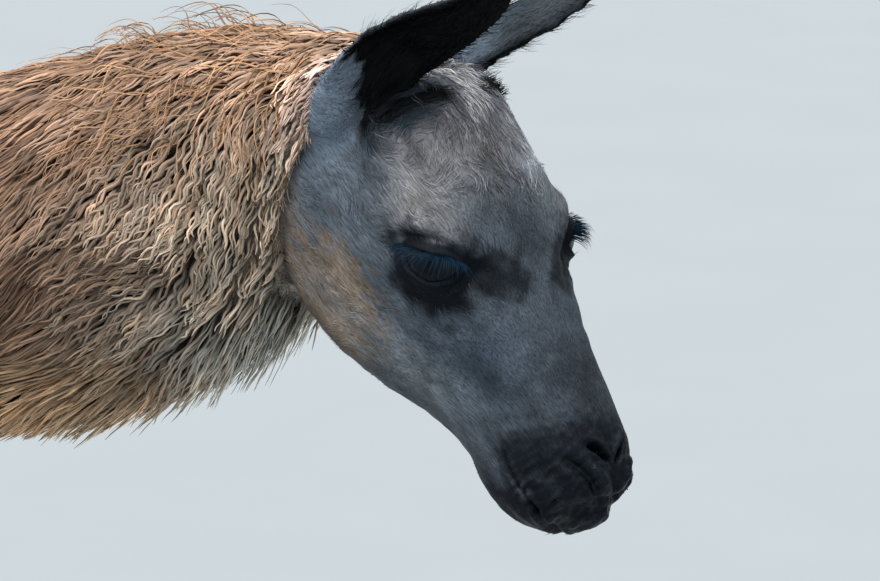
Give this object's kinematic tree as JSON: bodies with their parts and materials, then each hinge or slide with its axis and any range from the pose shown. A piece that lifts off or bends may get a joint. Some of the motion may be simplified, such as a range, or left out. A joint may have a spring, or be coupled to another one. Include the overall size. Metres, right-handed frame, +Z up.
{
  "type": "llama",
  "caption": "Life-size llama, standing, its neck stretched forward and its head lowered and turned a little to its right.",
  "frame": {"origin": "on the floor, at the centre of the whole's bounding box", "axes": "+X the way the body faces, +Y to its left, +Z up"},
  "size_m": [1.9799, 0.4842, 1.2298],
  "materials": {
    "short_dark_hair": "short flat hair, blue-grey to black, browner on the cheek and forehead",
    "ear_hide": "short blue-grey hair, black and longer inside the ear",
    "eye": "wet, blue-black",
    "neck_fleece": "wavy brown locks with pale tips, greyer at the throat",
    "body_fleece": "longer brown locks",
    "leg_wool": "short dark brown wool",
    "leg_hair": "short flat dark hair",
    "nail_horn": "smooth dark horn"
  },
  "bodies": {
    "root": {"head": "short_dark_hair", "ear_left": "ear_hide", "ear_right": "ear_hide", "eye_left": "eye", "eye_right": "eye", "neck_upper": "neck_fleece", "neck_lower": "neck_fleece", "trunk": "body_fleece", "tail": "body_fleece", "fore_left_upper_leg": "leg_wool", "fore_left_shank": "leg_hair", "fore_left_foot": "leg_hair", "fore_left_nail_outer": "nail_horn", "fore_left_nail_inner": "nail_horn", "fore_right_upper_leg": "leg_wool", "fore_right_shank": "leg_hair", "fore_right_foot": "leg_hair", "fore_right_nail_outer": "nail_horn", "fore_right_nail_inner": "nail_horn", "hind_left_upper_leg": "leg_wool", "hind_left_shank": "leg_hair", "hind_left_foot": "leg_hair", "hind_left_nail_outer": "nail_horn", "hind_left_nail_inner": "nail_horn", "hind_right_upper_leg": "leg_wool", "hind_right_shank": "leg_hair", "hind_right_foot": "leg_hair", "hind_right_nail_outer": "nail_horn", "hind_right_nail_inner": "nail_horn"}
  },
  "joints": []
}
